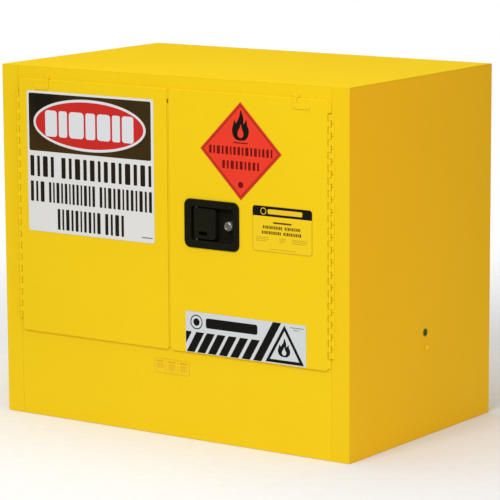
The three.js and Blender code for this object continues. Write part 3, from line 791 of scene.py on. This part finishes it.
def flame_gauze(level):
    """The woven wire gauze in a vent, with its rim."""
    cx, cz = vent_axis(level)
    screen_y = centre_of(f"{level}_vent_screen")[1]
    reach, pitch, wire, sway = 23.0, 2.7, 0.32, 0.42
    turns = [math.pi * (k + 0.5) / 2 for k in range(4)]
    section = [(wire * math.cos(turn), wire * math.sin(turn)) for turn in turns]
    wires = Shape()
    count = int(reach / pitch)
    for i in range(-count, count + 1):
        half = math.sqrt(reach ** 2 - (i * pitch) ** 2)
        stops = [k * pitch / 2 for k in range(-2 * count, 2 * count + 1) if abs(k * pitch / 2) < half]
        for upright in (False, True):
            loops = []
            for s in [-half, *stops, half]:
                wave = math.cos(math.pi * s / pitch) * math.cos(math.pi * i) * (-1 if upright else 1)
                y = screen_y + sway * wave
                if upright:
                    loops.append([(cx + i * pitch + u, y + v, cz + s) for u, v in section])
                else:
                    loops.append([(cx + s, y + v, cz + i * pitch + u) for u, v in section])
            wires.loft(loops)
    rim = [(22.6, screen_y - 0.9), (23.9, screen_y - 0.9), (23.9, screen_y + 0.9), (22.6, screen_y + 0.9)]
    wires.lathe(rim, "y", (cx, cz), 40, closed=True)
    piece(f"{level}_flame_gauze", wires, "cabinet", PLATED, [f"{level}_vent_screen"])


def vent_cap(level):
    """The cap of a vent: a ribbed head and a hollow plug with its thread."""
    cx, cz = vent_axis(level)
    inside, outside = (corner[1] for corner in mm(f"{level}_vent_cap"))
    base = outside - 3.7
    cap = Shape()
    ribs, outline = 36, []
    for k in range(ribs * 4):
        dip = 0.9 if k % 4 in (0, 1) else 0.0
        turn = 2 * math.pi * k / (ribs * 4)
        outline.append((cx + (30 - dip) * math.cos(turn), cz + (30 - dip) * math.sin(turn)))
    cap.prism(outline, "y", base, outside - 0.5)
    crown = [(27.5, outside - 0.8), (26.8, outside - 0.2), (25.5, outside), (9.0, outside),
             (7.5, outside - 0.7), (0.0, outside - 0.7)]
    cap.lathe(crown, "y", (cx, cz), 48)
    plug, hollow = Shape(), circle(cx, cz, 19.0, 40)
    plug.prism(circle(cx, cz, 23.4, 48), "y", inside, base + 0.3, pockets=[(hollow, base - 3)])
    piece(f"{level}_vent_bung_head", cap, f"{level}_vent_cap", CAP_BLACK,
          [f"{level}_vent_cap"], bevel=0.25)
    thread = Shape()
    rings = [(23.2, inside + 1.0)]
    for k in range(6):
        y = inside + 2.0 + k * 2.2
        rings += [(23.2, y), (23.38, y + 0.4), (23.38, y + 0.9), (23.2, y + 1.3)]
    rings += [(22.8, base - 0.5), (22.8, inside + 1.0)]
    thread.lathe(rings, "y", (cx, cz), 48, closed=True)
    piece(f"{level}_vent_bung_plug", plug, f"{level}_vent_cap", CAP_BLACK, bevel=0.5)
    piece(f"{level}_vent_bung_thread", thread, f"{level}_vent_cap", CAP_BLACK)


def leveling_foot(corner):
    """A round pad with its threaded stud."""
    node = f"leveling_foot_{corner}"
    cx, cy, _ = centre_of(node)
    top = mm(node)[1][2]
    profile = [(0.0, 0.0), (17.0, 0.0), (18.0, 0.9), (18.0, 3.6), (16.8, 5.0), (9.0, 5.0), (6.2, 5.6),
               (4.2, 6.2)]
    z = 6.6
    while z < top - 2.2:
        profile += [(4.2, z), (5.0, z + 0.75)]
        z += 1.5
    profile += [(4.2, top - 1.2), (3.4, top), (0.0, top)]
    shape = Shape().lathe(profile, "z", (cx, cy), 28)
    piece(f"foot_{corner}_pad_and_stud", shape, f"foot_{corner}", PLATED, [node])


def earth_screw():
    """The hexagonal earthing bolt with its washer, and the ring printed on its label."""
    low, high = mm("earth_screw")
    back, face = low[0], high[0]
    _, cy, cz = centre_of("earth_screw")
    shape = Shape()
    shape.prism(circle(cy, cz, 5.4, 6), "x", face - 3.0, face)
    washer = [(3.2, face - 3.4), (6.4, face - 3.4), (6.4, face - 2.9), (3.2, face - 2.9)]
    shape.lathe(washer, "x", (cy, cz), 28, closed=True)
    shape.prism(circle(cy, cz, 3.0, 18), "x", back, face - 1.0)
    piece("earth_bolt", shape, "cabinet", ENAMEL, ["earth_screw"], bevel=0.35)
    ring = Shape()
    label_face = mm("earth_label")[1][0]
    near, far = label_face - 0.1, label_face + 0.03
    ring.lathe([(6.9, near), (7.5, near), (7.5, far), (6.9, far)], "x", centre_of("earth_label")[1:], 36,
               closed=True)
    piece("earth_label_ring", ring, "cabinet", INK_TAN)


for vent_level in ("upper", "lower"):
    vent_sleeve(vent_level)
    flame_gauze(vent_level)
    vent_cap(vent_level)
for foot_corner in ("front_left", "front_right", "rear_left", "rear_right"):
    leveling_foot(foot_corner)
earth_screw()


# ---- signs ----

INK = 0.06  # height of one layer of ink
FLAME = [(0.0, 0.0), (0.24, 0.02), (0.42, 0.16), (0.46, 0.36), (0.37, 0.52), (0.33, 0.70),
         (0.24, 0.60), (0.17, 0.56), (0.16, 0.76), (0.02, 1.0), (-0.05, 0.80), (-0.17, 0.64),
         (-0.25, 0.56), (-0.33, 0.66), (-0.40, 0.50), (-0.46, 0.34), (-0.40, 0.14), (-0.22, 0.02)]
FLAME_HEART = [(0.0, 0.08), (0.14, 0.14), (0.16, 0.27), (0.07, 0.40), (0.03, 0.54), (-0.04, 0.42),
               (-0.14, 0.30), (-0.14, 0.15)]


class Sheet:
    """The inks on one sign. Points are in millimetres from the sign's own corner or centre."""

    def __init__(self, node, body):
        self.node, self.body, self.slot = node, body, SLOT_OF[node]
        self.x, self.z, self.face = front_view(node)
        self.inks = {}

    def draw(self, ink, points, layer=1, holes=()):
        """A printed area; ink is (name, material) and a higher layer covers a lower one."""
        name, material = ink
        shape = self.inks.setdefault(name, (Shape(), material))[0]
        shape.prism(points, "y", self.face - INK * layer, self.face + 0.15, holes=list(holes))

    def down(self, u0, u1, d0, d1, radius=0.0, steps=4):
        """A rounded rectangle from the left edge and the top edge."""
        return rounded((self.x[0] + u0, self.x[0] + u1), (self.z[1] - d1, self.z[1] - d0), radius, steps)

    def finish(self):
        """Makes one piece of each ink."""
        for name, (shape, material) in self.inks.items():
            piece(f"{self.node}_{name}", shape, self.body, material)


def flame(cx, base, width, height):
    """The outlines of a plain flame and of the gap inside it."""
    body = smooth_loop([(cx + u * width, base + v * height) for u, v in FLAME])
    heart = smooth_loop([(cx + u * width, base + v * height) for u, v in FLAME_HEART])
    return body, heart


BAR_WIDTHS = (1.0, 0.7, 1.25, 0.8, 1.1, 0.65, 0.95)


def bars(sheet, ink, span, depth, count, gap=0.75, layer=1):
    """A row of blank bars of mixed widths in the place of one word; gap is against the mean bar."""
    widths = [BAR_WIDTHS[k % len(BAR_WIDTHS)] for k in range(count)]
    unit = (span[1] - span[0]) / (sum(widths) + gap * (count - 1))
    start = span[0]
    for width in widths:
        end = start + width * unit
        sheet.draw(ink, sheet.down(start, end, *depth, min(end - start, depth[1] - depth[0]) * 0.2), layer)
        start = end + gap * unit


def warning_sign():
    """A dark header with an oval of blank blocks, over three lines of blank bars."""
    sheet = Sheet("warning_sign", "left_door")
    header, text = ("header_ink", INK_HEADER), ("text_ink", INK_TEXT)
    sheet.draw(header, sheet.down(5.2, 331, 5, 129, 4))
    cx, cz = sheet.x[0] + 167.8, sheet.z[1] - 66.8
    sheet.draw(("white_ink", INK_WHITE), circle(cx, cz, 150, 96, 55.2 / 150), 2)
    sheet.draw(("red_ink", INK_RED), circle(cx, cz, 144, 96, 49.5 / 144), 3)
    bars(sheet, ("bar_ink", INK_WHITE), (50, 286), (40, 96), 7, 0.16, 4)
    lines = [((139.5, 184), (((7, 71.5), 4), ((92, 331), 13))),
             ((194.5, 238.5), (((7, 44.5), 3), ((57, 181.6), 12), ((194, 332), 12))),
             ((250.5, 295.5), (((79.7, 195.4), 10), ((208, 257.6), 4)))]
    for depth, words in lines:
        for span, count in words:
            bars(sheet, text, span, depth, count)
    sheet.draw(("fine_ink", INK_GREY), sheet.down(305, 333, 291, 293.4, 0.5))
    sheet.finish()


def class_diamond():
    """A red diamond with a darker border, a flame, two rows of blank bars and a dot."""
    sheet = Sheet("class_diamond", "right_door")
    cx, cz = (sum(sheet.x) / 2, sum(sheet.z) / 2)
    reach = (sheet.x[1] - sheet.x[0]) / 2

    def diamond(half):
        return [(cx, cz - half), (cx + half, cz), (cx, cz + half), (cx - half, cz)]

    step = math.sqrt(2)
    sheet.draw(("band_ink", INK_BAND_RED), diamond(reach - 0.4), 1, [diamond(reach - 5 * step)])
    sheet.draw(("line_ink", INK_DARK_RED), diamond(reach - 5 * step), 1, [diamond(reach - 6.1 * step)])
    black, text = ("black_ink", INK_BLACK), ("text_ink", INK_MAROON)
    body, heart = flame(cx, cz + 22, 45, 62)
    sheet.draw(black, body, 1, [heart])
    sheet.draw(text, rounded((cx - 18.7, cx + 18.7), (cz + 15.8, cz + 18.0), 0.8, 3))
    for width, centre, count in ((157, 0.0, 16), (91, -29.0, 9)):
        span, middle = (reach - width / 2, reach + width / 2), sheet.z[1] - cz - centre
        bars(sheet, text, span, (middle - 8.5, middle + 8.5), count)
    sheet.draw(text, circle(cx, cz - 69, 6.5, 24))
    sheet.finish()


def rating_plate():
    """A yellow plate with a black band, a ring and blank bars and lines."""
    sheet = Sheet("rating_plate", "right_door")
    black, brown, tan = ("black_ink", INK_BLACK), ("brown_ink", INK_BROWN), ("fine_ink", INK_TAN)
    band = rounded(inset(sheet.x, 0.4), (sheet.z[1] - 21, sheet.z[1] - 0.4), (6.6, 6.6, 0, 0))
    sheet.draw(black, band)
    outer = rounded(inset(sheet.x, 0.5), (sheet.z[0] + 0.5, sheet.z[1] - 20), (0, 0, 6.5, 6.5))
    inner = rounded(inset(sheet.x, 1.5), (sheet.z[0] + 1.5, sheet.z[1] - 20.5), (0, 0, 5.5, 5.5))
    sheet.draw(("border_ink", INK_TAN), outer, 1, [inner])
    yellow = ("yellow_ink", INK_YELLOW)
    mark = (sheet.x[0] + 27, sheet.z[1] - 11)
    sheet.draw(yellow, circle(*mark, 7.2, 28), 2, [circle(*mark, 5.6, 28)])
    sheet.draw(yellow, sheet.down(38, 122, 6, 16, 2.5), 2)
    sheet.draw(brown, sheet.down(51, 96, 31.5, 35, 1))
    for span, depth, count in (((26, 73), (40, 46.5), 11), ((79, 117), (40, 46.5), 9),
                               ((23, 70), (51, 57.5), 11), ((76, 119), (51, 57.5), 10)):
        bars(sheet, brown, span, depth, count, 0.5)
    for row in range(3):
        for left, right in ((9, 40), (66, 82), (96, 134)):
            sheet.draw(tan, sheet.down(left, right - 5 * (row == 2), 64 + row * 3.6, 65.3 + row * 3.6, 0.4))
    sheet.draw(tan, sheet.down(42, 108, 87.2, 88.4, 0.4))
    sheet.finish()


def hazard_strip():
    """A silver strip with slanted black stripes, a ringed dot, a blank bar and a flame in a triangle."""
    sheet = Sheet("hazard_strip", "right_door")
    black = ("black_ink", INK_BLACK)
    left, foot = sheet.x[0], sheet.z[0]

    def slant(start, width, height, base=0.8, lean=0.584):
        points = ((start + lean * base, base), (start + width + lean * base, base),
                  (start + width + lean * height, height), (start + lean * height, height))
        return [(left + u, foot + v) for u, v in points]

    for start in (1.8, 28.8, 56.0, 84.0, 112.7, 141.6):
        sheet.draw(black, slant(start, 20.3, 44.0))
    sheet.draw(black, [(left + 0.8, foot + 18), (left + 3.6, foot + 22.5), (left + 16, foot + 44),
                       (left + 0.8, foot + 44)])
    sheet.draw(black, slant(170.1, 20.5, 85.7))
    apex, base_l, base_r = (248.7, 82.0), (201.5, 2.4), (296.6, 2.4)
    triangle = [(left + u, foot + v) for u, v in (base_l, base_r, apex)]
    cut = [(left + u, foot + v) for u, v in ((212.8, 8.9), (285.2, 8.9), (248.7, 69.9))]
    sheet.draw(black, triangle, 1, [cut])
    body, heart = flame(left + 247.5, foot + 16, 33, 38)
    sheet.draw(black, body, 1, [heart])
    mark = (left + 28, foot + 65)
    sheet.draw(black, circle(*mark, 15.5, 40), 1, [circle(*mark, 13.2, 40)])
    sheet.draw(black, circle(*mark, 8.0, 28))
    sheet.draw(black, sheet.down(52, 182, 11, 32, 5))
    grey = ("fine_ink", INK_GREY)
    sheet.draw(grey, sheet.down(262, 296, 7, 8.4, 0.4))
    sheet.draw(grey, sheet.down(270, 284, 12, 13.2, 0.4))
    sheet.finish()


def sill_label():
    """A pale yellow label of three cells, each with a bar over a blank patch."""
    sheet = Sheet("sill_label", "cabinet")
    olive, pale, orange = ("olive_ink", INK_OLIVE), ("pale_ink", INK_PALE), ("orange_ink", INK_ORANGE)
    outer = rounded(inset(sheet.x, 0.5), inset(sheet.z, 0.5), 5.0, 6)
    inner = rounded(inset(sheet.x, 1.7), inset(sheet.z, 1.7), 3.9, 6)
    sheet.draw(olive, outer, 1, [inner])
    third = (sheet.x[1] - sheet.x[0]) / 3
    for k in range(3):
        left, right = k * third + 5.0, (k + 1) * third - 5.0
        if k:
            sheet.draw(olive, sheet.down(k * third - 0.6, k * third + 0.6, 2.2, 28.8, 0.3))
        sheet.draw(orange, sheet.down(left, right, 4.6, 7.6, 1.2))
        sheet.draw(pale, sheet.down(left + 1.5, right - 1.0, 10.0, 25.0 - 4.0 * (k == 0), 3.5))
    sheet.finish()


warning_sign()
class_diamond()
rating_plate()
hazard_strip()
sill_label()

frame["nodes"]["sill_label"].data.materials[0] = SILL_YELLOW


# ---- camera, stage and light ----

# In metres and degrees. The camera's values are solved from the corners of the cabinet.
CAMERA_AT = (3.3948, -4.8497, 1.3675)
AZIMUTH, ELEVATION, ROLL = (math.radians(a) for a in (34.93, 9.69, -0.31))
LENS, SENSOR = 199.57, 36
FLOOR_RADIUS, FLOOR_LEVEL = 6.0, -0.0004
FLOOR_SOLID, FLOOR_GONE = 0.6, 2.4  # distances from the middle between which the floor fades away
AMBIENT, GLOSS = 0.42, 0.1  # strength of the white surroundings as light and in reflections
SIDE_TINT = (1.0, 0.36, 0.8)  # turns the yellow of the side deeper, as in the photograph


def camera():
    """The camera, where the perspective of the photograph puts it."""
    data = bpy.data.cameras.new("camera")
    data.lens, data.sensor_width = LENS, SENSOR
    ob = add_object("camera", data)
    forward = Vector((-math.sin(AZIMUTH) * math.cos(ELEVATION), math.cos(AZIMUTH) * math.cos(ELEVATION),
                      -math.sin(ELEVATION)))
    level = forward.cross(Vector((0, 0, 1))).normalized()
    rise = level.cross(forward)
    right = level * math.cos(ROLL) + rise * math.sin(ROLL)
    up = rise * math.cos(ROLL) - level * math.sin(ROLL)
    ob.matrix_world = Matrix.Translation(CAMERA_AT) @ Matrix((right, up, -forward)).transposed().to_4x4()
    SCENE.camera = ob


def floor():
    """A plain pale disc that fades into the white surroundings."""
    rim = [(u, v, FLOOR_LEVEL) for u, v in circle(0, 0, FLOOR_RADIUS, 96)]
    mesh = bpy.data.meshes.new("floor")
    mesh.from_pydata(rim, [], [tuple(range(len(rim)))])
    made = Finish("pale_floor", Roughness=0.9, Specular_IOR_Level=0.0)
    grain = made.ramp(made.noise(30.0), 0, 1)
    made.colour(made.mix(grain, (0.93, 0.93, 0.93, 1), (0.9, 0.9, 0.9, 1)))
    reach = made.node("VectorMath", {"Vector": made.place}, operation="LENGTH").outputs["Value"]
    fade = made.node("MapRange", {"Value": reach}, {"From Min": FLOOR_SOLID, "From Max": FLOOR_GONE},
                     interpolation_type="SMOOTHSTEP").outputs["Result"]
    clear = made.node("BsdfTransparent")
    blend = made.node("MixShader", {0: fade, 1: made.shader.outputs[0], 2: clear.outputs[0]})
    made.tree.links.new(blend.outputs[0], made.tree.nodes["Material Output"].inputs["Surface"])
    mesh.materials.append(made.material)
    ob = add_object("floor", mesh)
    ob.visible_glossy = False
    return ob


def area_light(name, place, target, size, power, colour=(1, 1, 1), spare=(), only=(), glossy=True):
    """A soft light, round or (width, height), that lights all but the spared objects or only some."""
    data = bpy.data.lights.new(name, "AREA")
    data.energy, data.color = power, colour
    if isinstance(size, tuple):
        data.shape, data.size, data.size_y = "RECTANGLE", *size
    else:
        data.shape, data.size = "DISK", size
    ob = add_object(name, data)
    ob.location = place
    ob.rotation_mode = "QUATERNION"
    ob.rotation_quaternion = (Vector(target) - Vector(place)).to_track_quat("-Z", "Y")
    ob.visible_camera = False
    ob.visible_glossy = glossy
    if spare or only:
        linked = bpy.data.collections.new(f"{name}_receivers")
        for other in spare or only:
            linked.objects.link(other)
        for held in linked.collection_objects:
            held.light_linking.link_state = "EXCLUDE" if spare else "INCLUDE"
        ob.light_linking.receiver_collection = linked


def world():
    """White where the camera looks past the object, softer as light and softer still in reflections."""
    made = bpy.data.worlds.new("studio")
    made.use_nodes = True
    tree = made.node_tree
    tree.nodes.remove(tree.nodes["Background"])
    path = tree.nodes.new("ShaderNodeLightPath")
    shader = None
    for ray, strength in ((None, AMBIENT), ("Is Glossy Ray", GLOSS), ("Is Camera Ray", 1.0)):
        back = tree.nodes.new("ShaderNodeBackground")
        back.inputs["Color"].default_value = (1.0, 1.0, 1.0, 1)
        back.inputs["Strength"].default_value = strength
        if shader is None:
            shader = back.outputs[0]
            continue
        mix = tree.nodes.new("ShaderNodeMixShader")
        for socket, source in ((0, path.outputs[ray]), (1, shader), (2, back.outputs[0])):
            tree.links.new(source, mix.inputs[socket])
        shader = mix.outputs[0]
    tree.links.new(shader, tree.nodes["World Output"].inputs["Surface"])
    SCENE.world = made


camera()
FLOOR = floor()
world()
area_light("front_light", (0.55, -2.9, 2.7), (0.0, -0.3, 0.5), 2.0, 65)
area_light("top_light", (-0.4, -0.2, 4.0), (0.0, 0.0, 0.7), 3.2, 51)
SIDE, TOP = bpy.data.objects["right_side_panel"], bpy.data.objects["top_cover"]
EARTH = [bpy.data.objects[name] for name in ("earth_bolt", "earth_label_ring")]
area_light("side_light", (1.8, -0.5, 0.84), (0.445, -0.25, 0.6), (0.4, 1.6), 7.7, SIDE_TINT,
           only=[SIDE, *EARTH])
area_light("fill_light", (1.8, -0.8, 0.6), (0.3, -0.28, 0.45), (0.8, 1.2), 4.6, spare=[FLOOR, SIDE, TOP])
area_light("back_light", (-0.6, 3.6, 1.7), (0.0, 0.28, 0.4), 2.2, 28, spare=[FLOOR], glossy=False)

SCENE.view_settings.view_transform = "Standard"
SCENE.view_settings.look = "None"
